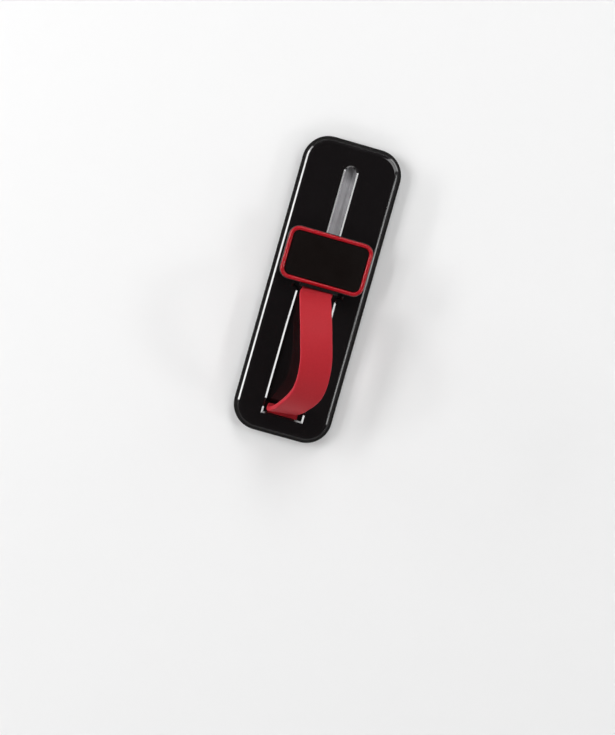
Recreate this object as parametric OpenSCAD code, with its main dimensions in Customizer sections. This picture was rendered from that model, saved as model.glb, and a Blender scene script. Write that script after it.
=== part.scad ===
// Slide-up finger loop for the back of a phone, in millimetres.
// X runs across the base, +Y along its slot towards the end where the slider parks, +Z away from the phone.
// The origin is the middle of the adhesive pad's underside.
// The slider is at the bottom of its travel, so the band stands up as a loop.

/* [Base] */
// Length of the base, along its slot
base_l = 88; // [82:1:106]
// Width of the base
base_w = 29.2; // [28.6:0.2:36]
// Height of the housing over the adhesive pad
base_h = 4.5; // [4.5:0.1:5.4]
// Radius of the base's corners, seen from above
corner_r = 7.5; // [6:0.5:9]
// Height of the upright foot of the side wall
side_h = 2.5; // [2:0.1:2.8]
// How far the side wall leans in between its foot and the bright edge
side_lean = 0.9; // [0.6:0.05:1]
// Width of the bright bevel round the top
edge_bevel = 0.45; // [0.3:0.05:0.7]
// Width of the soft shoulder between the bevel and the flat top
edge_shoulder = 0.85; // [0.3:0.05:0.9]
// Thickness of the housing's skirt round the base plate
wall_t = 1.6; // [1.4:0.1:2]
// Thickness of the housing's roof over the track and the band's anchor
roof_t = 1.5; // [1.4:0.1:1.6]
// Thickness of the base plate
plate_t = 1.0; // [0.8:0.1:1.1]
// Thickness of the adhesive pad
adhesive_t = 0.8; // [0.5:0.1:1.2]
// How far the adhesive pad's edge lies inside the housing's
adhesive_inset = 0.8; // [0.5:0.1:2]

/* [Slot and track] */
// Clear width of the slot
slot_w = 3.4; // [3.2:0.1:4.2]
// Bevel along the slot's edges
slot_bevel = 0.45; // [0.2:0.05:0.6]
// Distance from the slot's round end to the end of the base
slot_end = 7.2; // [6.4:0.2:9]
// Travel of the slider
travel = 27; // [22:1:30]
// Thickness of the grey track strip
strip_t = 0.4; // [0.3:0.05:0.5]

/* [Band channel] */
// Width of the channel that the flattened band lies in
channel_w = 11.6; // [11.4:0.1:12.8]
// Width of the channel at its waist, below the pad
waist_w = 11.2; // [10.6:0.1:11.4]
// Width of the wide mouth under the pad
mouth_w = 14.4; // [14:0.1:15]
// Depth of the channel
channel_d = 1.4; // [1:0.1:1.5]
// Radius of the shoulders between the waist and the mouth
shoulder_r = 1.2; // [0.8:0.1:1.4]
// Bevel along the channel's edges
channel_bevel = 0.5; // [0.2:0.05:0.5]

/* [Slider] */
// Width of the red rim, across the base
pad_w = 24.9; // [22.4:0.5:25.9]
// Length of the red rim, along the slot
pad_l = 15.5; // [14.5:0.1:17.5]
// Corner radius of the red rim
pad_r = 3.0; // [2.4:0.1:4]
// Width of the red bead
rim_w = 1.15; // [1:0.05:1.6]
// Height of the red bead over its seat
rim_h = 1.3; // [1:0.1:1.6]
// How far the black carrier shows round the rim
carrier_lip = 0.2; // [0.1:0.05:0.4]
// Height from the carrier's underside to the rim's seat
carrier_h = 2.0; // [1.9:0.1:2.6]
// Thickness of the thumb plate
inlay_t = 0.5; // [0.4:0.05:0.7]
// How far the thumb plate lies below the bead's top
inlay_sink = 0.35; // [0.2:0.05:0.5]
// Distance from the neck's middle to the pad's middle
pad_ahead = 2.9; // [2.4:0.05:3]
// Length of the neck, along the slot
neck_l = 7.4; // [6.6:0.2:8.2]
// Width of the foot in the track
foot_w = 8.4; // [7.6:0.2:9]
// Length of the foot in the track
foot_l = 11; // [10:0.5:12]
// Thickness of the foot
foot_t = 0.85; // [0.7:0.05:0.9]
// Thickness of the glide plate under the carrier
glide_t = 0.5; // [0.4:0.05:0.6]

/* [Band] */
// Width of the band
band_w = 9.0; // [8.6:0.1:10]
// Thickness of the band
band_t = 1.3; // [1:0.05:1.35]
// Radius of the band's centreline where it leaves the slider and the base
root_r = 2.2; // [1.9:0.1:2.4]
// How far the loop leans to +X
band_lean = 4.0; // [0:0.2:4.4]
// Turn of the band round the upright at its crown, in degrees
band_turn = 17; // [0:1:20]
// Distance from the band's lower root to the end of the base
anchor_end = 6.15; // [5.8:0.05:7]

/* [Fastenings] */
// Shank radius of the cover screws
cover_shank_r = 0.7; // [0.6:0.05:0.8]
// Head radius of the cover screws
cover_head_r = 1.3; // [1.1:0.05:1.5]
// Shank radius of the slider screws and the anchor screws
small_shank_r = 0.55; // [0.45:0.05:0.6]
// Head radius of the slider screws and the anchor screws
small_head_r = 1.0; // [0.9:0.05:1.1]
// Radius of the carrier's pegs through the band
peg_r = 0.6; // [0.5:0.05:0.65]
// Thickness of the friction spring's leaf
spring_t = 0.15; // [0.1:0.05:0.2]

/* [Fits] */
// Gap between fixed pieces that fit in each other
fit_gap = 0.1; // [0.05:0.01:0.15]
// Side gap of the sliding pieces
slide_gap = 0.2; // [0.1:0.05:0.3]
// Gap between the glide plate and the base
glide_gap = 0.15; // [0.1:0.05:0.25]
// Gap between the carrier's edge and the base
lift_gap = 0.3; // [0.25:0.05:0.4]
// Gap round the soft band in its seats
band_gap = 0.05; // [0.03:0.01:0.1]
// Gap round the screws
screw_gap = 0.05; // [0.02:0.01:0.1]

/* [Hidden] */
$fn = 64;
over = 0.05;
// Rise of the bevels for their width: the slot's and the channel's, the one round the top, and the two
// facets of its shoulder, of which the outer one takes this share of the width
bevel_rise = 0.53;
edge_rise = 0.75;
shoulder_rise = [0.3, 0.18];
shoulder_share = 0.64;

// Heights
top_z = adhesive_t + base_h;
plate_z = adhesive_t + plate_t;
roof_z = top_z - roof_t;
floor_z = top_z - channel_d;
floor_skin = 0.9;
glide_z = top_z + glide_gap;
tab_z = glide_z + glide_t;
web_z = tab_z + band_t + 2 * band_gap;
seat_z = top_z + lift_gap + carrier_h;
bead_z = seat_z + rim_h;
deck_z = bead_z - inlay_sink - inlay_t;
foot_z = roof_z - glide_gap - foot_t;
strip_z = plate_z + strip_t;

// Places along the slot
slot_hi = base_l / 2 - slot_end;
neck_hi = slot_hi - slide_gap - travel;
neck_mid = neck_hi - neck_l / 2;
neck_w = slot_w - 2 * slide_gap;
slot_lo = neck_hi - neck_l - slide_gap;
pad_mid = neck_mid + pad_ahead;
carrier_w = pad_w + 2 * carrier_lip;
carrier_l = pad_l + 2 * carrier_lip;
carrier_r = pad_r + carrier_lip;
carrier_lo = pad_mid - carrier_l / 2;
carrier_wall = 1.7;
glide_seat_w = carrier_w - 2 * carrier_wall;
glide_seat_l = carrier_l - 2 * carrier_wall;
track_w = foot_w + 4 * slide_gap;
track_lo = neck_mid - foot_l / 2 - 2 * slide_gap;
track_hi = neck_mid + foot_l / 2 + travel + 2 * slide_gap;

// The band's two roots, where its flat ends pass into the loop
mouth_in = 0.4;
root_hi = carrier_lo + mouth_in;
root_hi_z = tab_z + band_gap + band_t / 2;
root_lo = anchor_end - base_l / 2;
root_lo_z = roof_z - band_gap - band_t / 2;
tab_hi = neck_hi + 2;
tab_lo = wall_t + 0.3 - base_l / 2;
lip_y = root_lo - 0.15;
window_y = root_lo + root_r + band_t / 2 + 0.1;
bar_w = band_w + 2;
window_w = bar_w + 2 * fit_gap;

// The loop is two root arcs and one crown arc. The band's length is what lies flat when the slider is up,
// and the turn of each arc is the one at which that length spans the roots.
chord = root_hi - root_lo;
rise = root_hi_z - root_lo_z;
loop_l = sqrt(pow(chord + travel, 2) + rise * rise);
mean_turn = turn_for(sqrt(chord * chord + rise * rise) / loop_l, 0, 180, 40);
skew = atan(rise / chord);
turn_hi = mean_turn - skew;
turn_lo = mean_turn + skew;
arcs_r = loop_l / (2 * mean_turn * PI / 180);
crown_r = arcs_r - root_r;

// Half the turn of an arc whose chord is that share of its length, found by halving
function turn_for(share, low, high, steps) =
    let (mid = (low + high) / 2)
    steps == 0 ? mid :
    sin(mid) / (mid * PI / 180) > share ? turn_for(share, mid, high, steps - 1)
        : turn_for(share, low, mid, steps - 1);

// Anchor
anchor_y = (tab_lo + lip_y) / 2;
anchor_x = band_w / 2 - 1.8;
bar_t = root_lo_z - band_t / 2 - band_gap - plate_z;
small_head_h = 0.45;
cover_head_h = 0.6;
anchor_reach = roof_z + 0.9;
cover_reach = top_z - 1.2;
cover_x = base_w / 2 - 4.7;
cover_y = base_l / 2 - 8.2;

// Slider fastenings
slider_screw_y = [neck_mid - 2.1, neck_mid + 2.1];
peg_x = (neck_w / 2 + band_gap + band_w / 2) / 2 + 0.1;
peg_y = [neck_mid - 2, neck_mid + 2];
spring_l = 8;
spring_w = 3.4;
spring_touch = 0.03;

// Side of the housing, as insets and heights from the bottom up
facet_z = top_z - shoulder_rise[1] * (1 - shoulder_share) * edge_shoulder;
shoulder_z = facet_z - shoulder_rise[0] * shoulder_share * edge_shoulder;
housing_edge = [
    [0, adhesive_t],
    [0, adhesive_t + side_h],
    [side_lean, shoulder_z - edge_rise * edge_bevel],
    [side_lean + edge_bevel, shoulder_z],
    [side_lean + edge_bevel + shoulder_share * edge_shoulder, facet_z],
    [side_lean + edge_bevel + edge_shoulder, top_z]
];

// A prism along Y whose section is edge and its mirror image
module bar(w, l, edge) {
    n = len(edge) - 1;
    rotate([90, 0, 0])
        linear_extrude(height = l, center = true)
            polygon(concat([for (p = edge) [w / 2 - p[0], p[1]]],
                [for (i = [n:-1:0]) [edge[i][0] - w / 2, edge[i][1]]]));
}

// A rounded rectangle whose side follows edge, a list of [inset, height] from the bottom up
module rounded_solid(w, l, r, edge) {
    last = len(edge) - 1;
    bar(w, l - 2 * r, edge);
    rotate([0, 0, 90]) bar(l, w - 2 * r, edge);
    for (corner = [0:3])
        rotated_corner(w, l, r, corner)
            polygon(concat([[0, edge[0][1]]], [for (p = edge) [r - p[0], p[1]]], [[0, edge[last][1]]]));
}

// A closed section of [inset, height] swept round a rounded rectangle
module rounded_ring(w, l, r, section) {
    for (turn = [0:3]) {
        across = turn % 2 == 0 ? w : l;
        along = turn % 2 == 0 ? l : w;
        rotate([0, 0, 90 * turn])
            rotate([90, 0, 0])
                linear_extrude(height = along - 2 * r, center = true)
                    polygon([for (p = section) [across / 2 - p[0], p[1]]]);
    }
    for (corner = [0:3])
        rotated_corner(w, l, r, corner)
            polygon([for (p = section) [r - p[0], p[1]]]);
}

// A quarter turn of a profile at one corner of a rounded rectangle
module rotated_corner(w, l, r, corner) {
    sx = corner == 0 || corner == 3 ? 1 : -1;
    sy = corner < 2 ? 1 : -1;
    translate([sx * (w / 2 - r), sy * (l / 2 - r), 0])
        rotate([0, 0, 90 * corner])
            rotate_extrude(angle = 90)
                children();
}

// An upright rounded prism
module rounded_prism(w, l, r, z0, z1) {
    rounded_solid(w, l, r, [[0, z0], [0, z1]]);
}

// An upright slot-shaped prism between two places along Y
module slot_prism(w, y0, y1, z0, z1) {
    translate([-w / 2, y0 + w / 2, z0]) cube([w, y1 - y0 - w, z1 - z0]);
    for (y = [y0 + w / 2, y1 - w / 2])
        translate([0, y, z0]) cylinder(r = w / 2, h = z1 - z0);
}

// A cut that bevels the upper edge of a slot
module slot_flare(w, y0, y1, z1, bevel) {
    r = w / 2;
    low = z1 - bevel * bevel_rise;
    out = bevel + over / bevel_rise;
    translate([0, (y0 + y1) / 2, 0])
        rotate([90, 0, 0])
            linear_extrude(height = y1 - y0 - w, center = true)
                polygon([[-r, low], [r, low], [r + out, z1 + over], [-r - out, z1 + over]]);
    for (y = [y0 + r, y1 - r])
        translate([0, y, low]) cylinder(r1 = r, r2 = r + out, h = z1 + over - low);
}

// A countersunk screw with a slotted head, its head down at the origin
module screw(shank_r, head_r, head_h, reach) {
    head_rim = 0.1;
    slot_t = 0.3;
    slot_d = 0.2;
    difference() {
        rotate_extrude()
            polygon([[0, 0], [head_r, 0], [head_r, head_rim], [shank_r, head_h],
                [shank_r, reach - shank_r / 2], [shank_r / 2, reach], [0, reach]]);
        translate([-head_r - over, -slot_t / 2, -over]) cube([2 * head_r + 2 * over, slot_t, slot_d + over]);
    }
}

// The hole that such a screw goes in
module screw_hole(shank_r, head_r, head_h, reach) {
    head_rim = 0.1;
    rotate_extrude()
        polygon([[0, -over], [head_r + screw_gap, -over], [head_r + screw_gap, head_rim],
            [shank_r + screw_gap, head_h + screw_gap / 2], [shank_r + screw_gap, reach + screw_gap],
            [0, reach + screw_gap]]);
}

// Outline of the channel, grown by e all round: straight sides, a waist, two round shoulders, the wide mouth
waist_y = carrier_lo - 2.6;
taper_y = waist_y - 10;
mouth_hi = carrier_lo + 2.4;
function channel_side(e) = concat(
    [[channel_w / 2 + e, lip_y - e], [channel_w / 2 + e, taper_y], [waist_w / 2 + e, waist_y]],
    [for (a = [165:-15:105])
        [waist_w / 2 + shoulder_r + (shoulder_r - e) * cos(a), waist_y + (shoulder_r - e) * sin(a)]],
    [[mouth_w / 2 + e, waist_y + shoulder_r - e + 0.1], [mouth_w / 2 + e, mouth_hi + e]]);
function channel_outline(e) =
    let (side = channel_side(e), n = len(side) - 1)
    concat(side, [for (i = [n:-1:0]) [-side[i][0], side[i][1]]]);

// A solid between two outlines of as many points, the wider one above
module loft(low, high, z0, z1) {
    n = len(low);
    points = concat([for (p = low) [p[0], p[1], z0]], [for (p = high) [p[0], p[1], z1]]);
    faces = concat([[for (i = [0:n - 1]) i]], [[for (i = [n - 1:-1:0]) n + i]],
        [for (i = [0:n - 1]) [(i + 1) % n, i, n + i, n + (i + 1) % n]]);
    polyhedron(points = points, faces = faces);
}

// The channel's floor is level in the lower half and climbs to the top under the pad
module channel_cut() {
    ramp_lo = carrier_lo - 4.2;
    intersection() {
        translate([0, 0, floor_z])
            linear_extrude(height = channel_d + over)
                polygon(channel_outline(0));
        rotate([90, 0, 90])
            linear_extrude(height = mouth_w + 2, center = true)
                polygon([[lip_y - over, floor_z], [ramp_lo, floor_z], [mouth_hi, top_z],
                    [mouth_hi + over, top_z + 2 * over], [lip_y - over, top_z + 2 * over]]);
    }
}

module housing() {
    cover_w = base_w - 2 * wall_t;
    cover_l = base_l - 2 * wall_t;
    cell_n = 5;
    rib_t = 1.2;
    cell_run = 2 * cover_y - 9;
    cell_l = cell_run / cell_n;
    cell_x0 = 7.8;
    cell_x1 = cover_w / 2 - 0.8;
    under_hi = track_lo - rib_t;
    window_ramp = 1.1;
    under_lo = window_y + window_ramp + rib_t;
    color([0.08, 0.075, 0.08])
    difference() {
        rounded_solid(base_w, base_l, corner_r, housing_edge);
        // Seat of the base plate
        rounded_prism(cover_w, cover_l, corner_r - wall_t, adhesive_t - over, plate_z);
        // Track of the foot
        translate([-track_w / 2, track_lo, plate_z - over])
            cube([track_w, track_hi - track_lo, roof_z - plate_z + over]);
        // Slot and its bevel
        slot_prism(slot_w, slot_lo, slot_hi, roof_z - over, top_z + over);
        slot_flare(slot_w, slot_lo, slot_hi, top_z, slot_bevel);
        // Channel of the band and its bevel
        channel_cut();
        loft(channel_outline(0), channel_outline(channel_bevel + over / bevel_rise),
            top_z - channel_bevel * bevel_rise, top_z + over);
        // Pocket and window of the band's anchor
        translate([-window_w / 2, tab_lo - 0.2, plate_z - over])
            cube([window_w, lip_y - tab_lo + 0.2 + over, roof_z - plate_z + over]);
        translate([-window_w / 2, lip_y, plate_z - over])
            cube([window_w, window_y - lip_y, top_z - plate_z]);
        // Ramp from the window up to the channel's floor
        rotate([90, 0, 90])
            linear_extrude(height = window_w, center = true)
                polygon([[window_y - over, floor_z + over], [window_y - over, floor_z - window_ramp],
                    [window_y + window_ramp, floor_z], [window_y + window_ramp, floor_z + over]]);
        // Ribbed hollows of the two sides and under the channel
        for (side = [-1, 1], i = [0:cell_n - 1])
            translate([side * (cell_x0 + cell_x1) / 2, (i + 0.5) * cell_l - cell_run / 2, 0])
                rounded_prism(cell_x1 - cell_x0, cell_l - rib_t, 1, plate_z - over, roof_z);
        for (i = [0:3])
            translate([0, under_lo + (i + 0.5) * (under_hi - under_lo) / 4, 0])
                rounded_prism(channel_w - 1.6, (under_hi - under_lo) / 4 - rib_t, 1,
                    plate_z - over, floor_z - floor_skin);
        // Screw holes of the bosses
        for (i = [1:4]) translate(cover_screw_at(i))
            screw_hole(cover_shank_r, cover_head_r, cover_head_h, cover_reach - adhesive_t);
        for (i = [1:2]) translate(anchor_screw_at(i))
            screw_hole(small_shank_r, small_head_r, small_head_h, anchor_reach - plate_z);
    }
}

function cover_screw_at(i) = [(i % 2 == 0 ? 1 : -1) * cover_x, (i > 2 ? 1 : -1) * cover_y, adhesive_t];
function anchor_screw_at(i) = [(i == 2 ? 1 : -1) * anchor_x, anchor_y, plate_z];
function slider_screw_at(i) = [0, slider_screw_y[i - 1], foot_z];

module adhesive_pad() {
    color([0.2, 0.2, 0.2])
    rounded_prism(base_w - 2 * adhesive_inset, base_l - 2 * adhesive_inset, corner_r - adhesive_inset,
        0, adhesive_t);
}

module base_plate() {
    color([0.12, 0.12, 0.12])
    difference() {
        rounded_prism(base_w - 2 * wall_t - 2 * fit_gap, base_l - 2 * wall_t - 2 * fit_gap,
            corner_r - wall_t - fit_gap, adhesive_t, plate_z);
        for (i = [1:4]) translate(cover_screw_at(i))
            screw_hole(cover_shank_r, cover_head_r, cover_head_h, plate_t + over);
    }
}

module track_strip() {
    color([0.55, 0.55, 0.57])
    translate([-track_w / 2 + fit_gap, track_lo + fit_gap, plate_z])
        cube([track_w - 2 * fit_gap, track_hi - track_lo - 2 * fit_gap, strip_t]);
}

// Sideways places of the band's middle line at equal steps from the slider to the anchor, as shares of its
// lean, and the smooth line through those places, which leaves and meets both ends straight
lean_shape = [0, -0.2, 0.01, 0.46, 0.97, 1.01, 0.33, -0.16, 0];
lean_n = len(lean_shape) - 1;
function lean_knot(k) = lean_shape[k < 0 ? -k : k > lean_n ? 2 * lean_n - k : k];
function lean_at(u) =
    let (i = min(floor(u * lean_n), lean_n - 1), f = u * lean_n - i,
        a = lean_knot(i - 1), b = lean_knot(i), c = lean_knot(i + 1), d = lean_knot(i + 2))
    band_lean * (b + f * (c - a + f * (2 * a - 5 * b + 4 * c - d + f * (3 * (b - c) + d - a))) / 2);

// Directions of the band at a station: along its middle line, and across its width, square to that
function band_along(s) = let (step = 0.002)
    unit([(lean_at(s[3] + step) - lean_at(s[3] - step)) / (2 * step * loop_l), -cos(s[2]), sin(s[2])]);
function band_across(s, along) = let (turn = band_turn * sin(180 * s[3]), level = [cos(turn), sin(turn), 0])
    unit(level - (level * along) * along);
function unit(v) = v / sqrt(v * v);

// Stations of the band's middle line from the slider to the anchor, each [y, z, heading, share of the loop]
function root_station_hi(a) = [root_hi - root_r * sin(a), root_hi_z + root_r * (1 - cos(a)), a,
    root_r * a * PI / 180 / loop_l];
function crown_station(a) = [root_hi - arcs_r * sin(turn_hi) + crown_r * sin(a),
    root_hi_z + root_r - arcs_r * cos(turn_hi) + crown_r * cos(a),
    a, (root_r * turn_hi + crown_r * (turn_hi - a)) * PI / 180 / loop_l];
function root_station_lo(a) = [root_lo + root_r * sin(a), root_lo_z + root_r * (1 - cos(a)), -a,
    1 - root_r * a * PI / 180 / loop_l];
root_steps = 9;
crown_steps = 44;
band_stations = concat(
    [[tab_hi, root_hi_z, 0, 0]],
    [for (i = [0:root_steps]) root_station_hi(turn_hi * i / root_steps)],
    [for (i = [1:crown_steps - 1]) crown_station(turn_hi - (turn_hi + turn_lo) * i / crown_steps)],
    [for (i = [root_steps:-1:0]) root_station_lo(turn_lo * i / root_steps)],
    [[tab_lo, root_lo_z, 0, 1]]);

// Section of the band: its long edges are rounded off by two points each
band_edge = 0.3;
band_section = let (x = band_w / 2, z = band_t / 2) [
    [x - band_edge, -z], [x, band_edge - z], [x, z - band_edge], [x - band_edge, z],
    [band_edge - x, z], [-x, z - band_edge], [-x, band_edge - z], [band_edge - x, -z]];

module finger_band() {
    n = len(band_stations);
    m = len(band_section);
    points = [for (s = band_stations)
        let (along = band_along(s), across = band_across(s, along), up = cross(along, across))
        for (p = band_section) [lean_at(s[3]), s[0], s[1]] + p[0] * across + p[1] * up];
    faces = concat(
        [[for (j = [m - 1:-1:0]) j]],
        [[for (j = [0:m - 1]) (n - 1) * m + j]],
        [for (i = [0:n - 2], j = [0:m - 1])
            let (a = i * m + j, b = i * m + (j + 1) % m) each [[a, b, b + m], [a, b + m, a + m]]]);
    color([0.68, 0.14, 0.17])
    difference() {
        polyhedron(points = points, faces = faces);
        slot_prism(neck_w + 2 * fit_gap, neck_mid - neck_l / 2 - fit_gap, neck_hi + fit_gap,
            tab_z - over, web_z + over);
        for (x = [-peg_x, peg_x], y = peg_y)
            translate([x, y, tab_z - over]) cylinder(r = peg_r + band_gap, h = band_t + 1);
        for (i = [1:2]) translate(anchor_screw_at(i))
            cylinder(r = small_shank_r + band_gap, h = base_h);
    }
}

module anchor_bar() {
    color([0.6, 0.6, 0.62])
    difference() {
        translate([0, anchor_y, 0])
            rounded_prism(bar_w, lip_y - tab_lo, 1, plate_z, plate_z + bar_t);
        for (i = [1:2]) translate(anchor_screw_at(i))
            screw_hole(small_shank_r, small_head_r, small_head_h, base_h);
    }
}

module slider_foot() {
    color([0.16, 0.16, 0.16])
    difference() {
        union() {
            translate([0, neck_mid, 0]) rounded_prism(foot_w, foot_l, 1.5, foot_z, foot_z + foot_t);
            slot_prism(neck_w, neck_hi - neck_l, neck_hi, foot_z + foot_t / 2, web_z);
        }
        for (i = [1:2]) translate(slider_screw_at(i))
            screw_hole(small_shank_r, small_head_r, small_head_h, web_z);
    }
}

module friction_spring() {
    crown_z = foot_z - spring_touch;
    bow = crown_z - spring_t - strip_z - spring_touch;
    under_r = (spring_l * spring_l / 4 + bow * bow) / (2 * bow);
    color([0.75, 0.75, 0.76])
    intersection() {
        translate([0, neck_mid, crown_z - spring_t - under_r])
            rotate([0, 90, 0])
                difference() {
                    cylinder(r = under_r + spring_t, h = spring_w, center = true);
                    cylinder(r = under_r, h = spring_w + 1, center = true);
                }
        translate([-spring_w, neck_mid - spring_l / 2, strip_z])
            cube([2 * spring_w, spring_l, foot_z - strip_z]);
    }
}

module glide_plate() {
    color([0.85, 0.85, 0.83])
    difference() {
        translate([0, pad_mid, 0])
            rounded_prism(glide_seat_w - 2 * fit_gap, glide_seat_l - 2 * fit_gap, 1.5, glide_z, tab_z);
        // Notch for the neck, open towards the band
        slot_prism(neck_w + 2 * fit_gap, carrier_lo - neck_w, neck_hi + fit_gap, glide_z - over, tab_z + over);
        for (x = [-peg_x, peg_x], y = peg_y)
            translate([x, y, glide_z - over]) cylinder(r = peg_r + fit_gap, h = glide_t + 2 * over);
    }
}

module slider_carrier() {
    under_z = top_z + lift_gap;
    under_bevel = 0.4;
    seat_bevel = 0.2;
    pocket_w = band_w + 2 * band_gap + 0.2;
    mouth_r = root_r - band_t / 2 - band_gap;
    mouth_turn = 75;
    lip_ear = 1;
    lip_gap = 0.3;
    lip_lo = root_hi - root_r + band_t / 2 + lip_gap;
    lip_hi = carrier_lo + carrier_lip - fit_gap;
    lip_z = bead_z - inlay_sink;
    color([0.07, 0.065, 0.065])
    difference() {
        union() {
            difference() {
                union() {
                    translate([0, pad_mid, 0])
                        rounded_solid(carrier_w, carrier_l, carrier_r,
                            [[under_bevel, under_z], [0, under_z + under_bevel], [0, seat_z - seat_bevel],
                                [seat_bevel, seat_z]]);
                    // Lip that bridges the band's root in front of the rim
                    rotate([90, 0, 90])
                        linear_extrude(height = pocket_w + 2 * lip_ear, center = true)
                            polygon([[lip_lo, under_z + under_bevel], [carrier_lo + 1, under_z + under_bevel],
                                [carrier_lo + 1, seat_z - seat_bevel], [lip_hi, seat_z - seat_bevel],
                                [lip_hi, lip_z], [lip_lo + seat_bevel, lip_z], [lip_lo, lip_z - seat_bevel]]);
                    translate([0, pad_mid, 0])
                        rounded_prism(pad_w - 2 * rim_w - 2 * fit_gap, pad_l - 2 * rim_w - 2 * fit_gap,
                            pad_r - rim_w - fit_gap, seat_z - over, deck_z);
                }
                // Seat of the glide plate
                translate([0, pad_mid, 0])
                    rounded_prism(glide_seat_w, glide_seat_l, 1.5 + fit_gap, under_z - over, tab_z);
                // Seat of the band's flat end, open at the carrier's lower edge
                translate([-pocket_w / 2, carrier_lo - 1, under_z - over])
                    cube([pocket_w, tab_hi + band_gap + fit_gap - carrier_lo + 1, web_z - under_z + over]);
                // Round mouth that the band's root bends through
                rotate([90, 0, 90])
                    linear_extrude(height = pocket_w, center = true)
                        polygon(concat([[lip_lo - 1, web_z - over], [root_hi, web_z - over]],
                            [for (a = [0:15:mouth_turn])
                                [root_hi - mouth_r * sin(a), root_hi_z + root_r - mouth_r * cos(a)]],
                            [[lip_lo - 1, root_hi_z + root_r - mouth_r * cos(mouth_turn)]]));
            }
            for (x = [-peg_x, peg_x], y = peg_y)
                translate([x, y, glide_z + fit_gap]) cylinder(r = peg_r, h = web_z - glide_z);
        }
        for (i = [1:2]) translate([0, slider_screw_y[i - 1], web_z - over])
            cylinder(r = small_shank_r + screw_gap, h = deck_z - web_z - 0.1);
    }
}

// The bead is a half round on a straight foot
module slider_rim() {
    r = rim_w / 2;
    section = concat([[rim_w, seat_z], [0, seat_z]],
        [for (a = [0:15:180]) [r - r * cos(a), bead_z - r + r * sin(a)]]);
    color([0.66, 0.13, 0.17])
    translate([0, pad_mid, 0])
        rounded_ring(pad_w, pad_l, pad_r, section);
}

module slider_inlay() {
    top = bead_z - inlay_sink;
    edge = 0.12;
    color([0.075, 0.06, 0.058])
    translate([0, pad_mid, 0])
        rounded_solid(pad_w - 2 * rim_w - 2 * fit_gap, pad_l - 2 * rim_w - 2 * fit_gap,
            pad_r - rim_w - fit_gap, [[0, deck_z], [0, top - edge], [edge, top]]);
}

module cover_screw(i) {
    color([0.7, 0.7, 0.7])
    translate(cover_screw_at(i)) screw(cover_shank_r, cover_head_r, cover_head_h, cover_reach - adhesive_t);
}

module anchor_screw(i) {
    color([0.7, 0.7, 0.7])
    translate(anchor_screw_at(i)) screw(small_shank_r, small_head_r, small_head_h, anchor_reach - plate_z);
}

module slider_screw(i) {
    color([0.7, 0.7, 0.7])
    translate(slider_screw_at(i)) screw(small_shank_r, small_head_r, small_head_h, deck_z - 0.2 - foot_z);
}

adhesive_pad();
base_plate();
track_strip();
housing();
finger_band();
anchor_bar();
slider_foot();
friction_spring();
glide_plate();
slider_carrier();
slider_rim();
slider_inlay();
for (i = [1:4])
    cover_screw(i);
for (i = [1:2])
    anchor_screw(i);
for (i = [1:2])
    slider_screw(i);
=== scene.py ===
import math

import bpy
from mathutils import Matrix, Vector


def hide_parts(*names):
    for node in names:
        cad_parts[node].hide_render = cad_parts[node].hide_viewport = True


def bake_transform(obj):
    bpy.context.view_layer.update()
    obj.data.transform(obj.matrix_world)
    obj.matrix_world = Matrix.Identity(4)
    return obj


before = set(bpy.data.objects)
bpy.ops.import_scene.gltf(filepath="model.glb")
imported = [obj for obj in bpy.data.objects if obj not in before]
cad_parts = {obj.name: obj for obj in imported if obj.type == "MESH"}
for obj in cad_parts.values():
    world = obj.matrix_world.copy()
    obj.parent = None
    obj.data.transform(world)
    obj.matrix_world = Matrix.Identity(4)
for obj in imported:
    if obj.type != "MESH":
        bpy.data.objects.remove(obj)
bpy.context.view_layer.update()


# Adhesive pad.
# The pad that the base is stuck down with: black acrylic foam tape with a closed, finely pitted cut edge.
# It is die-cut to the outline of the housing, a little inside it, and stuck to the base plate.

def plain_finish(name, colour, roughness, metallic=0.0, specular=0.5):
    """A Principled material whose even values stand on the shader itself."""
    material = bpy.data.materials.new(name)
    material.use_nodes = True
    shader = material.node_tree.nodes["Principled BSDF"]
    shader.inputs["Base Color"].default_value = (*colour, 1)
    shader.inputs["Roughness"].default_value = roughness
    shader.inputs["Metallic"].default_value = metallic
    shader.inputs["Specular IOR Level"].default_value = specular
    return material, material.node_tree, shader


def effect(name, takes, gives):
    """A shader node group with named inputs and outputs."""
    group = bpy.data.node_groups.new(name, "ShaderNodeTree")
    for label, kind, value in takes:
        socket = group.interface.new_socket(label, in_out="INPUT", socket_type="NodeSocket" + kind)
        if value is not None:
            socket.default_value = value
    for label, kind in gives:
        group.interface.new_socket(label, in_out="OUTPUT", socket_type="NodeSocket" + kind)
    return group, group.nodes.new("NodeGroupInput"), group.nodes.new("NodeGroupOutput")


def put(tree, group, **values):
    """That effect placed in a material, with its own values."""
    node = tree.nodes.new("ShaderNodeGroup")
    node.node_tree = group
    for label, value in values.items():
        node.inputs[label].default_value = value
    return node


def node_of(tree, kind, inputs=(), **settings):
    """A plain node with its settings, and its inputs given as values or as sockets to link from."""
    node = tree.nodes.new("ShaderNode" + kind)
    for key, value in settings.items():
        setattr(node, key, value)
    for key, value in dict(inputs).items():
        if isinstance(value, bpy.types.NodeSocket):
            tree.links.new(value, node.inputs[key])
        else:
            node.inputs[key].default_value = value
    return node


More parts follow.
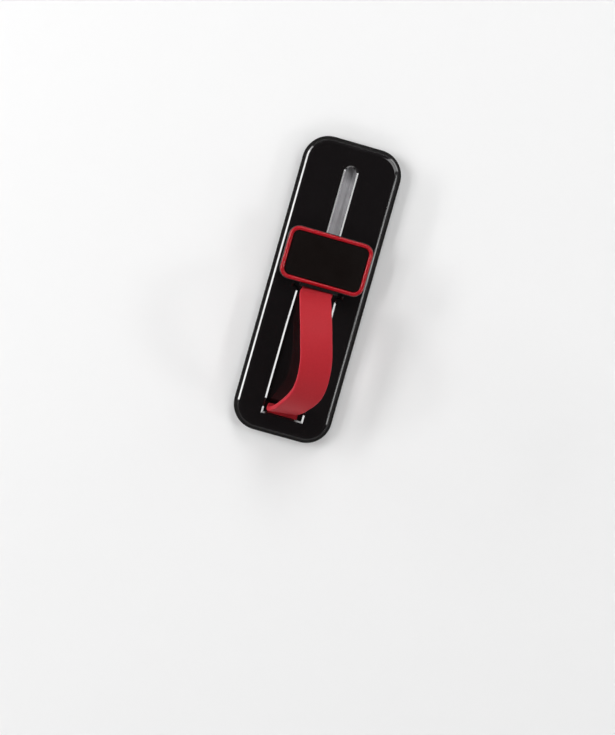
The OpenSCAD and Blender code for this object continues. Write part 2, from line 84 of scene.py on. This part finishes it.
def moulded_grain():
    """Fine even grain of a moulded or cast surface: a height for Bump, and a tone about 1 for colour."""
    group, takes, gives = effect(
        "moulded_grain",
        [("Vector", "Vector", None), ("Scale", "Float", 1000.0), ("Contrast", "Float", 0.1)],
        [("Height", "Float"), ("Tone", "Float")])
    fine = node_of(group, "TexNoise", {
        "Vector": takes.outputs["Vector"], "Scale": takes.outputs["Scale"], "Detail": 4, "Roughness": 0.6})
    low = node_of(group, "Math", {0: 1, 1: takes.outputs["Contrast"]}, operation="SUBTRACT")
    high = node_of(group, "Math", {0: 1, 1: takes.outputs["Contrast"]}, operation="ADD")
    tone = node_of(group, "MapRange", {
        "Value": fine.outputs["Fac"], "From Min": 0.3, "From Max": 0.7,
        "To Min": low.outputs[0], "To Max": high.outputs[0]})
    group.links.new(fine.outputs["Fac"], gives.inputs["Height"])
    group.links.new(tone.outputs[0], gives.inputs["Tone"])
    return group


grain = moulded_grain()


def toned(tree, colour, tone):
    """A colour whose brightness follows a tone about 1."""
    return node_of(tree, "Mix", {0: 1.0, 6: (*colour, 1), 7: tone},
                   data_type="RGBA", blend_type="MULTIPLY").outputs[2]


def bumped(tree, shader, height, depth, strength=1.0):
    """Bumps the surface by a height, to a depth in metres."""
    bump = node_of(tree, "Bump", {"Height": height, "Distance": depth, "Strength": strength})
    tree.links.new(bump.outputs["Normal"], shader.inputs["Normal"])


def where(tree, kind="Object"):
    """Texture coordinates of that kind."""
    return node_of(tree, "TexCoord").outputs[kind]


CRISP_TURN, SAME_PLACE = 28, 2e-6


def dress(name, material, crisp=CRISP_TURN):
    """Gives a CAD piece its material. Edges that turn less than crisp degrees look round."""
    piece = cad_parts[name]
    piece.data.materials.clear()
    piece.data.materials.append(material)
    piece.data.polygons.foreach_set("use_smooth", [True] * len(piece.data.polygons))
    weld = piece.modifiers.new("joined_faces", "WELD")
    weld.merge_threshold = SAME_PLACE
    split = piece.modifiers.new("crisp_edges", "EDGE_SPLIT")
    split.split_angle = math.radians(crisp)
    flat = piece.modifiers.new("flat_faces", "WEIGHTED_NORMAL")
    flat.keep_sharp = True


FOAM_BLACK = (0.02, 0.02, 0.021)
foam, tree, shader = plain_finish("adhesive_foam", FOAM_BLACK, 0.85)
cells = node_of(tree, "TexVoronoi", {"Vector": where(tree), "Scale": 5200.0})
speckle = put(tree, grain, Scale=2400.0, Contrast=0.35)
tree.links.new(where(tree), speckle.inputs["Vector"])
tree.links.new(toned(tree, FOAM_BLACK, speckle.outputs["Tone"]), shader.inputs["Base Color"])
bumped(tree, shader, cells.outputs["Distance"], 0.00008, 0.6)
dress("adhesive_pad", foam)


# Base plate.
# The flat closing plate of the base: black glass-filled nylon, moulded, let into the housing's underside.
# The adhesive pad covers it from below.

MATT_BLACK = (0.012, 0.0105, 0.0105)
nylon, tree, shader = plain_finish("black_nylon", MATT_BLACK, 0.5)
fibre = put(tree, grain, Scale=900.0, Contrast=0.2)
tree.links.new(where(tree), fibre.inputs["Vector"])
tree.links.new(toned(tree, MATT_BLACK, fibre.outputs["Tone"]), shader.inputs["Base Color"])
bumped(tree, shader, fibre.outputs["Height"], 0.00003, 0.5)
dress("base_plate", nylon)


# Screws.
# Small countersunk screws of plated steel with slotted heads. Four hold the base plate to the housing,
# two clamp the band's lower end, and two join the foot to the carrier.

def turned_streaks():
    """Fine streaks along one direction, as rolling, brushing or turning leaves them."""
    group, takes, gives = effect(
        "turned_streaks",
        [("Vector", "Vector", None), ("Across", "Vector", (6000.0, 120.0, 6000.0)),
         ("Contrast", "Float", 0.15)],
        [("Height", "Float"), ("Tone", "Float")])
    stretched = node_of(group, "VectorMath", {0: takes.outputs["Vector"], 1: takes.outputs["Across"]},
                        operation="MULTIPLY")
    lines = node_of(group, "TexNoise", {"Vector": stretched.outputs[0], "Scale": 1.0, "Detail": 3})
    low = node_of(group, "Math", {0: 1, 1: takes.outputs["Contrast"]}, operation="SUBTRACT")
    high = node_of(group, "Math", {0: 1, 1: takes.outputs["Contrast"]}, operation="ADD")
    tone = node_of(group, "MapRange", {
        "Value": lines.outputs["Fac"], "From Min": 0.3, "From Max": 0.7,
        "To Min": low.outputs[0], "To Max": high.outputs[0]})
    group.links.new(lines.outputs["Fac"], gives.inputs["Height"])
    group.links.new(tone.outputs[0], gives.inputs["Tone"])
    return group


streaks = turned_streaks()
STEEL_GREY = (0.56, 0.56, 0.57)
steel, tree, shader = plain_finish("plated_steel", STEEL_GREY, 0.3, metallic=1.0)
turned = put(tree, streaks, Across=(9000.0, 9000.0, 900.0), Contrast=0.2)
tree.links.new(where(tree), turned.inputs["Vector"])
tree.links.new(toned(tree, STEEL_GREY, turned.outputs["Tone"]), shader.inputs["Base Color"])
dull = node_of(tree, "MapRange", {"Value": turned.outputs["Height"], "To Min": 0.22, "To Max": 0.42})
tree.links.new(dull.outputs[0], shader.inputs["Roughness"])
bumped(tree, shader, turned.outputs["Height"], 0.00001, 0.4)
for name in ["cover_screw_1", "cover_screw_2", "cover_screw_3", "cover_screw_4",
             "anchor_screw_1", "anchor_screw_2", "slider_screw_1", "slider_screw_2"]:
    dress(name, steel)


# Track strip.
# The grey strip that shows at the bottom of the slot: satin polypropylene that the slider's spring rubs on.
# It lies loose in the track. The foot has left fine marks along it.

STRIP_GREY = (0.68, 0.67, 0.7)
strip, tree, shader = plain_finish("grey_strip", STRIP_GREY, 0.38)
rubbed = put(tree, streaks, Across=(2600.0, 140.0, 2600.0), Contrast=0.12)
tree.links.new(where(tree), rubbed.inputs["Vector"])
cloud = put(tree, grain, Scale=260.0, Contrast=0.1)
tree.links.new(where(tree), cloud.inputs["Vector"])
marks = node_of(tree, "Math", {0: rubbed.outputs["Tone"], 1: cloud.outputs["Tone"]}, operation="MULTIPLY")
tree.links.new(toned(tree, STRIP_GREY, marks.outputs[0]), shader.inputs["Base Color"])
bumped(tree, shader, rubbed.outputs["Height"], 0.00002, 0.5)
dress("track_strip", strip)


# Housing.
# The base's cover: black ABS, injection moulded in one piece, with a bright bevel round its top, the slot
# of the slider and the channel that the flattened band lies in. Its top and bevels are polished. Its upright
# walls carry the dull grain of the eroded mould, in a darker black with almost no gloss, which is painted
# shade.

def soft_smudges():
    """Broad soft patches where handling has dulled a gloss: a mask from 0 to 1."""
    group, takes, gives = effect(
        "soft_smudges", [("Vector", "Vector", None), ("Scale", "Float", 90.0)], [("Mask", "Float")])
    patches = node_of(group, "TexNoise", {
        "Vector": takes.outputs["Vector"], "Scale": takes.outputs["Scale"], "Detail": 2, "Distortion": 0.6})
    mask = node_of(group, "MapRange", {"Value": patches.outputs["Fac"], "From Min": 0.4, "From Max": 0.72})
    group.links.new(mask.outputs[0], gives.inputs["Mask"])
    return group


def wear_and_highlight_edges():
    """Thin line along outer edges, lighter than the face: wear on the black parts, and a painted highlight on
    the band's rounded edges. A mask from 0 to its strength.
    """
    group, takes, gives = effect(
        "wear_and_highlight_edges", [("Width", "Float", 0.0001), ("Strength", "Float", 1.0)], [("Mask", "Float")])
    rounded = node_of(group, "Bevel", {"Radius": takes.outputs["Width"]}, samples=4)
    true = node_of(group, "NewGeometry")
    same = node_of(group, "VectorMath", {0: rounded.outputs["Normal"], 1: true.outputs["Normal"]},
                   operation="DOT_PRODUCT")
    mask = node_of(group, "MapRange", {
        "Value": same.outputs["Value"], "From Min": 0.995, "From Max": 0.9,
        "To Min": 0.0, "To Max": takes.outputs["Strength"]})
    group.links.new(mask.outputs[0], gives.inputs["Mask"])
    return group


smudges, edge_wear_and_highlight = soft_smudges(), wear_and_highlight_edges()


def mixed(tree, mask, first, second):
    """From one colour to another by a mask."""
    return node_of(tree, "Mix", {0: mask, 6: (*first, 1), 7: (*second, 1)}, data_type="RGBA").outputs[2]


GLOSS_BLACK, GLOSS_RUBBED = (0.0073, 0.0062, 0.0066), (0.02, 0.019, 0.02)
gloss, tree, shader = plain_finish("gloss_black", GLOSS_BLACK, 0.08)
touched = put(tree, smudges, Scale=110.0)
tree.links.new(where(tree), touched.inputs["Vector"])
edge_line = put(tree, edge_wear_and_highlight, Width=0.00012, Strength=0.6)
blacks = mixed(tree, edge_line.outputs["Mask"], GLOSS_BLACK, GLOSS_RUBBED)
tree.links.new(blacks, shader.inputs["Base Color"])
sheen = node_of(tree, "MapRange", {"Value": touched.outputs["Mask"], "To Min": 0.06, "To Max": 0.14})
tree.links.new(sheen.outputs[0], shader.inputs["Roughness"])
skin = put(tree, grain, Scale=700.0, Contrast=0.1)
tree.links.new(where(tree), skin.inputs["Vector"])
bumped(tree, shader, skin.outputs["Height"], 0.000004, 0.3)
dress("housing", gloss, crisp=19)

# The upright walls get a darker black with almost no gloss: painted shade. The fine grain on them is the
# mould's own.
SHADED_WALL_BLACK, STEEP = (0.0062, 0.0055, 0.0055), 0.6
shaded_wall_finish, tree, shader = plain_finish("wall_black_painted_shade", SHADED_WALL_BLACK, 0.6, specular=0.04)
spark = put(tree, grain, Scale=2200.0, Contrast=0.25)
tree.links.new(where(tree), spark.inputs["Vector"])
tree.links.new(toned(tree, SHADED_WALL_BLACK, spark.outputs["Tone"]), shader.inputs["Base Color"])
bumped(tree, shader, spark.outputs["Height"], 0.00001, 0.4)
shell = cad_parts["housing"].data
shell.materials.append(shaded_wall_finish)
for face in shell.polygons:
    face.material_index = 1 if abs(face.normal.z) < STEEP else 0


# Anchor.
# A stamped steel bar under the band's lower end. Two screws through it and the band clamp the end
# to the underside of the housing's lip.

pressed, tree, shader = plain_finish("pressed_steel", STEEL_GREY, 0.35, metallic=1.0)
rolled = put(tree, streaks, Across=(300.0, 7000.0, 7000.0), Contrast=0.15)
tree.links.new(where(tree), rolled.inputs["Vector"])
tree.links.new(toned(tree, STEEL_GREY, rolled.outputs["Tone"]), shader.inputs["Base Color"])
bumped(tree, shader, rolled.outputs["Height"], 0.00001, 0.4)
dress("anchor_bar", pressed)


# Band.
# The standing band: one flat strip of red silicone rubber, moulded with rounded long edges, satin all over.
# Its upper end is clamped in the slider and its lower end in the base, so it stands up as a loop that leans.

BAND_W, BAND_T, BAND_EDGE = 9.0, 1.3, 0.42
ROOT_R, TRAVEL = 2.2, 27.0
ROOT_HI, ROOT_HI_Z = 1.25, 6.65
ROOT_LO, ROOT_LO_Z = -37.85, 3.1
TAB_HI, TAB_LO = 11.6, -42.1
TAB_HI_STEPS, ROOT_STEPS, CROWN_STEPS, TAB_LO_STEPS = 8, 12, 72, 3
HALVINGS = 60


def loop_turn(share):
    """Half the turn of an arc whose chord is that share of its length."""
    low, high = 0.0, math.pi
    for _ in range(HALVINGS):
        mid = (low + high) / 2
        low, high = (mid, high) if math.sin(mid) / mid > share else (low, mid)
    return (low + high) / 2


span, drop = ROOT_HI - ROOT_LO, ROOT_HI_Z - ROOT_LO_Z
loop_l = math.hypot(span + TRAVEL, drop)
mean_turn, skew = loop_turn(math.hypot(span, drop) / loop_l), math.atan2(drop, span)
turn_hi, turn_lo = mean_turn - skew, mean_turn + skew
arcs_r = loop_l / (2 * mean_turn)
crown_r = arcs_r - ROOT_R


def band_path():
    """Stations of the band's middle line: y, z, heading, and share of the loop's length from the slider."""
    found = [(TAB_HI + (ROOT_HI - TAB_HI) * i / TAB_HI_STEPS, ROOT_HI_Z, 0.0, 0.0)
             for i in range(TAB_HI_STEPS)]
    for i in range(ROOT_STEPS + 1):
        a = turn_hi * i / ROOT_STEPS
        found.append((ROOT_HI - ROOT_R * math.sin(a), ROOT_HI_Z + ROOT_R * (1 - math.cos(a)), a,
                      ROOT_R * a / loop_l))
    centre_y = ROOT_HI - arcs_r * math.sin(turn_hi)
    centre_z = ROOT_HI_Z + ROOT_R - arcs_r * math.cos(turn_hi)
    for i in range(1, CROWN_STEPS):
        a = turn_hi - (turn_hi + turn_lo) * i / CROWN_STEPS
        found.append((centre_y + crown_r * math.sin(a), centre_z + crown_r * math.cos(a), a,
                      (ROOT_R * turn_hi + crown_r * (turn_hi - a)) / loop_l))
    for i in range(ROOT_STEPS, -1, -1):
        a = turn_lo * i / ROOT_STEPS
        found.append((ROOT_LO + ROOT_R * math.sin(a), ROOT_LO_Z + ROOT_R * (1 - math.cos(a)), -a,
                      1 - ROOT_R * a / loop_l))
    found += [(ROOT_LO + (TAB_LO - ROOT_LO) * i / TAB_LO_STEPS, ROOT_LO_Z, 0.0, 1.0)
              for i in range(1, TAB_LO_STEPS + 1)]
    return found


def band_section(steps=5):
    """Rounded section of the band, as (across, up) from its middle, all the way round."""
    corners = [(1, -1, -90), (1, 1, 0), (-1, 1, 90), (-1, -1, 180)]
    points = []
    for sx, sz, first in corners:
        for i in range(steps):
            a = math.radians(first + 90 * i / (steps - 1))
            points.append((sx * (BAND_W / 2 - BAND_EDGE) + BAND_EDGE * math.cos(a),
                           sz * (BAND_T / 2 - BAND_EDGE) + BAND_EDGE * math.sin(a)))
    return points


BAND_LEAN, BAND_TURN = 4.0, math.radians(17)
LEAN_SHAPE = [0, -0.2, 0.01, 0.46, 0.97, 1.01, 0.33, -0.16, 0]


def band_lean(share):
    """Sideways place of the middle line: a smooth line through the places at equal steps."""
    last = len(LEAN_SHAPE) - 1
    step = min(math.floor(share * last), last - 1)
    f = share * last - step
    a, b, c, d = [LEAN_SHAPE[last - abs(last - abs(step + k))] for k in (-1, 0, 1, 2)]
    return BAND_LEAN * (b + f * (c - a + f * (2 * a - 5 * b + 4 * c - d + f * (3 * (b - c) + d - a))) / 2)


def band_frame(heading, share):
    """Directions across the band's width and up from its face. The strip turns a little at its crown."""
    near = 0.002
    slope = (band_lean(share + near) - band_lean(share - near)) / (2 * near * loop_l)
    along = Vector((slope, -math.cos(heading), math.sin(heading))).normalized()
    turn = BAND_TURN * math.sin(math.pi * share)
    level = Vector((math.cos(turn), math.sin(turn), 0))
    across = (level - level.dot(along) * along).normalized()
    return across, along.cross(across)


stations, section = band_path(), band_section()
around = len(section)
points, run = [], [0.0]
for k, (y, z, heading, share) in enumerate(stations):
    if k:
        before = stations[k - 1]
        run.append(run[-1] + math.hypot(y - before[0], z - before[1]))
    across, up = band_frame(heading, share)
    middle = Vector((band_lean(share), y, z))
    points += [(middle + side * across + rise * up) / 1000 for side, rise in section]
faces = [[k * around + j, k * around + (j + 1) % around,
          (k + 1) * around + (j + 1) % around, (k + 1) * around + j]
         for k in range(len(stations) - 1) for j in range(around)]
faces += [list(range(around - 1, -1, -1)), [(len(stations) - 1) * around + j for j in range(around)]]
mesh = bpy.data.meshes.new("band_loop")
mesh.from_pydata(points, [], faces)
mesh.polygons.foreach_set("use_smooth", [True] * len(mesh.polygons))
girth = [0.0]
for j in range(around):
    a, b = section[j], section[(j + 1) % around]
    girth.append(girth[-1] + math.hypot(b[0] - a[0], b[1] - a[1]))
layer = mesh.uv_layers.new(name="along_band")
for face in mesh.polygons:
    for corner in face.loop_indices:
        point = mesh.loops[corner].vertex_index
        k, j = divmod(point, around)
        around_here = girth[around] if j == 0 and face.index % around == around - 1 else girth[j]
        layer.data[corner].uv = (around_here / 1000, run[k] / 1000)
band = bpy.data.objects.new("band_loop", mesh)
bpy.context.scene.collection.objects.link(band)
ends = band.modifiers.new("flat_faces", "WEIGHTED_NORMAL")
ends.keep_sharp = True

# The second red is a lighter pink, painted on the band's rounded edges as a highlight.
SILICONE_RED, SILICONE_PAINTED_HIGHLIGHT = (0.4, 0.02, 0.028), (0.6, 0.02, 0.055)
silicone, tree, shader = plain_finish("red_silicone", SILICONE_RED, 0.5, specular=0.1)
shader.inputs["Subsurface Weight"].default_value = 0.1
shader.inputs["Subsurface Radius"].default_value = (1.0, 0.12, 0.1)
shader.inputs["Subsurface Scale"].default_value = 0.0006
pores = put(tree, grain, Scale=1600.0, Contrast=0.05)
tree.links.new(where(tree, "UV"), pores.inputs["Vector"])
edge_line = put(tree, edge_wear_and_highlight, Width=0.0006, Strength=0.8)
reds_and_painted_highlight = mixed(tree, edge_line.outputs["Mask"], SILICONE_RED, SILICONE_PAINTED_HIGHLIGHT)
tone = node_of(tree, "Mix", {0: 1.0, 6: reds_and_painted_highlight, 7: pores.outputs["Tone"]},
               data_type="RGBA", blend_type="MULTIPLY")
tree.links.new(tone.outputs[2], shader.inputs["Base Color"])
bumped(tree, shader, pores.outputs["Height"], 0.00002, 0.5)
mesh.materials.append(silicone)
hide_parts("finger_band")
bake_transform(band)


# Foot, spring and glide plate.
# The parts of the slider that run in the base: a nylon foot in the track, a leaf spring under it that
# gives the friction, and a white acetal glide plate between the carrier and the base.

dress("slider_foot", nylon)
dress("friction_spring", pressed)
ACETAL_WHITE = (0.72, 0.72, 0.68)
acetal, tree, shader = plain_finish("white_acetal", ACETAL_WHITE, 0.35)
waxy = put(tree, grain, Scale=1100.0, Contrast=0.04)
tree.links.new(where(tree), waxy.inputs["Vector"])
tree.links.new(toned(tree, ACETAL_WHITE, waxy.outputs["Tone"]), shader.inputs["Base Color"])
bumped(tree, shader, waxy.outputs["Height"], 0.000008, 0.3)
dress("glide_plate", acetal)


# Carrier.
# The black tray under the slider's plate: satin ABS, moulded. It clamps the band's upper end and shows as a
# thin black line round the red rim.

CARRIER_BLACK, CARRIER_RUBBED = (0.006, 0.0052, 0.0052), (0.03, 0.027, 0.027)
satin, tree, shader = plain_finish("satin_black", CARRIER_BLACK, 0.32, specular=0.4)
edge_line = put(tree, edge_wear_and_highlight, Width=0.0001, Strength=0.7)
blacks = mixed(tree, edge_line.outputs["Mask"], CARRIER_BLACK, CARRIER_RUBBED)
tree.links.new(blacks, shader.inputs["Base Color"])
fine = put(tree, grain, Scale=1500.0, Contrast=0.1)
tree.links.new(where(tree), fine.inputs["Vector"])
bumped(tree, shader, fine.outputs["Height"], 0.00001, 0.4)
dress("slider_carrier", satin)


# Slider's plate.
# The flat plate that the slider is pushed by: matt black ABS with a spark-eroded grain, glued into the tray.

PLATE_BLACK = (0.0056, 0.0038, 0.0034)
plate, tree, shader = plain_finish("grained_black", PLATE_BLACK, 0.34, specular=0.12)
spark = put(tree, grain, Scale=2600.0, Contrast=0.25)
tree.links.new(where(tree), spark.inputs["Vector"])
tree.links.new(toned(tree, PLATE_BLACK, spark.outputs["Tone"]), shader.inputs["Base Color"])
polish = put(tree, smudges, Scale=140.0)
tree.links.new(where(tree), polish.inputs["Vector"])
shine = node_of(tree, "MapRange", {"Value": polish.outputs["Mask"], "To Min": 0.36, "To Max": 0.28})
tree.links.new(shine.outputs[0], shader.inputs["Roughness"])
bumped(tree, shader, spark.outputs["Height"], 0.000025, 0.6)
dress("slider_inlay", plate)


# Rim.
# The red bead round the slider's plate: gloss red ABS, moulded as a closed ring and pressed onto the tray.

RIM_RED, RIM_DEEP = (0.37, 0.007, 0.014), (0.33, 0.006, 0.012)
lacquer, tree, shader = plain_finish("gloss_red", RIM_RED, 0.1, specular=0.22)
high = put(tree, smudges, Scale=300.0)
tree.links.new(where(tree), high.inputs["Vector"])
tree.links.new(mixed(tree, high.outputs["Mask"], RIM_RED, RIM_DEEP), shader.inputs["Base Color"])
shine = node_of(tree, "MapRange", {"Value": high.outputs["Mask"], "To Min": 0.07, "To Max": 0.13})
tree.links.new(shine.outputs[0], shader.inputs["Roughness"])
ripple = put(tree, grain, Scale=900.0, Contrast=0.1)
tree.links.new(where(tree), ripple.inputs["Vector"])
bumped(tree, shader, ripple.outputs["Height"], 0.000006, 0.3)
dress("slider_rim", lacquer)


# Studio.
# A pale round floor that curves up into a wall on every side, and soft lamps. Away from the object a camera
# sees it evenly pale. The sky straight above is dark, so that the gloss top stays black to a camera over it.

INNER_R, FLOOR_R, WALL_R, WALL_H = 0.2, 0.55, 1.35, 0.8
WALL_STEPS, turns = 12, 64
rings = [(0.0, 0.0), (INNER_R, 0.0), (FLOOR_R, 0.0)]
rings += [(FLOOR_R + (WALL_R - FLOOR_R) * math.sin(a), WALL_H * (1 - math.cos(a)))
          for a in [math.radians(90 * i / WALL_STEPS) for i in range(1, WALL_STEPS + 1)]]
points = [(0, 0, 0)] + [(r * math.cos(2 * math.pi * k / turns), r * math.sin(2 * math.pi * k / turns), z)
                        for r, z in rings[1:] for k in range(turns)]
faces = [(0, 1 + k, 1 + (k + 1) % turns) for k in range(turns)]
faces += [(1 + i * turns + k, 1 + (i + 1) * turns + k, 1 + (i + 1) * turns + (k + 1) % turns,
           1 + i * turns + (k + 1) % turns) for i in range(len(rings) - 2) for k in range(turns)]
mesh = bpy.data.meshes.new("floor")
mesh.from_pydata(points, [], faces)
mesh.polygons.foreach_set("use_smooth", [True] * len(mesh.polygons))
floor = bpy.data.objects.new("floor", mesh)
bpy.context.scene.collection.objects.link(floor)
PALE, UNLIT, NEAR, FAR = (0.86, 0.86, 0.86), (0, 0, 0), 0.14, 0.4
paper, tree, shader = plain_finish("pale_floor", PALE, 0.9, specular=0.1)
away = node_of(tree, "VectorMath", {0: where(tree)}, operation="LENGTH")
rest_of_room = node_of(tree, "MapRange", {"Value": away.outputs["Value"], "From Min": NEAR, "From Max": FAR})
seen = node_of(tree, "Math", {
    0: rest_of_room.outputs[0], 1: node_of(tree, "LightPath").outputs["Is Camera Ray"]}, operation="MULTIPLY")
tree.links.new(mixed(tree, seen.outputs[0], PALE, UNLIT), shader.inputs["Base Color"])
tree.links.new(mixed(tree, seen.outputs[0], UNLIT, PALE), shader.inputs["Emission Color"])
shader.inputs["Emission Strength"].default_value = 1.0
mesh.materials.append(paper)


def softbox(name, azimuth, elevation, distance, wide, tall, power):
    """A white lamp that faces the object. Azimuth is from +X towards +Y, in degrees like elevation."""
    a, e = math.radians(azimuth), math.radians(elevation)
    out = Vector((math.cos(a) * math.cos(e), math.sin(a) * math.cos(e), math.sin(e)))
    light = bpy.data.lights.new(name, "AREA")
    light.shape, light.size, light.size_y = "RECTANGLE", wide, tall
    light.energy = power
    lamp = bpy.data.objects.new(name, light)
    lamp.location = out * distance
    lamp.rotation_mode = "QUATERNION"
    lamp.rotation_quaternion = out.to_track_quat("Z", "Y")
    lamp.visible_camera = False
    bpy.context.scene.collection.objects.link(lamp)


softbox("key_box", 93, 38, 0.95, 0.4, 0.3, 2.5)
softbox("left_low", 173.6, 18.7, 0.85, 0.42, 0.08, 2.3)
softbox("left_corner", 152, 18.7, 0.85, 0.2, 0.07, 0.4)
softbox("left_mid", 175.3, 38, 0.85, 0.1, 0.08, 0.36)
softbox("left_mid_near", 184.7, 38, 0.85, 0.12, 0.08, 0.55)
softbox("left_high", 180, 48, 0.85, 0.5, 0.08, 1.6)
softbox("right_mid", 4.3, 31, 0.85, 0.1, 0.08, 0.22)
softbox("right_mid_near", -4.3, 31, 0.85, 0.12, 0.08, 0.62)
softbox("right_high", 4.7, 53, 0.85, 0.32, 0.04, 0.36)
softbox("corner_low", 45, 13, 0.85, 0.5, 0.12, 0.9)
softbox("corner_high", 48, 59, 0.85, 0.3, 0.25, 1.0)
for azimuth in (-132, -90, -48):
    softbox("front_fill", azimuth, 36, 0.85, 0.5, 0.1, 0.5)

world = bpy.data.worlds.new("studio_sky")
world.use_nodes = True
bpy.context.scene.world = world
tree = world.node_tree
sky = tree.nodes["Background"]
height = node_of(tree, "SeparateXYZ", {0: where(tree, "Generated")})
ramp = node_of(tree, "ValToRGB", {0: height.outputs["Z"]})
stops = ramp.color_ramp.elements
SKY_LEVELS, SKY_STRENGTH = [(0.0, 0.4), (0.6, 0.4), (0.8, 0.12), (0.95, 0.03)], 0.6
for k, (spot, level) in enumerate(SKY_LEVELS):
    stop = stops[k] if k < 2 else stops.new(spot)
    stop.position, stop.color = spot, (level, level, level, 1)
tree.links.new(ramp.outputs["Color"], sky.inputs["Color"])
sky.inputs["Strength"].default_value = SKY_STRENGTH

# The camera looks down on the base from a little to its left, turned so that the slot leans to the right.
aim, eye = Vector((0.00327, -0.02234, 0.005)), Vector((-0.03639, 0.0066, 0.60461))
lean, LENS, SENSOR, NEAREST, FARTHEST = math.radians(15.85), 101.58, 36, 0.01, 10
back = (eye - aim).normalized()
right = Vector((-math.sin(lean), math.cos(lean), 0)).cross(back).normalized()
up = back.cross(right)
camera = bpy.data.objects.new("camera", bpy.data.cameras.new("camera"))
camera.matrix_world = Matrix((right, up, back)).transposed().to_4x4()
camera.location = eye
camera.data.lens, camera.data.sensor_width = LENS, SENSOR
camera.data.clip_start, camera.data.clip_end = NEAREST, FARTHEST
bpy.context.scene.collection.objects.link(camera)
bpy.context.scene.camera = camera
bpy.context.scene.view_settings.view_transform = "Standard"
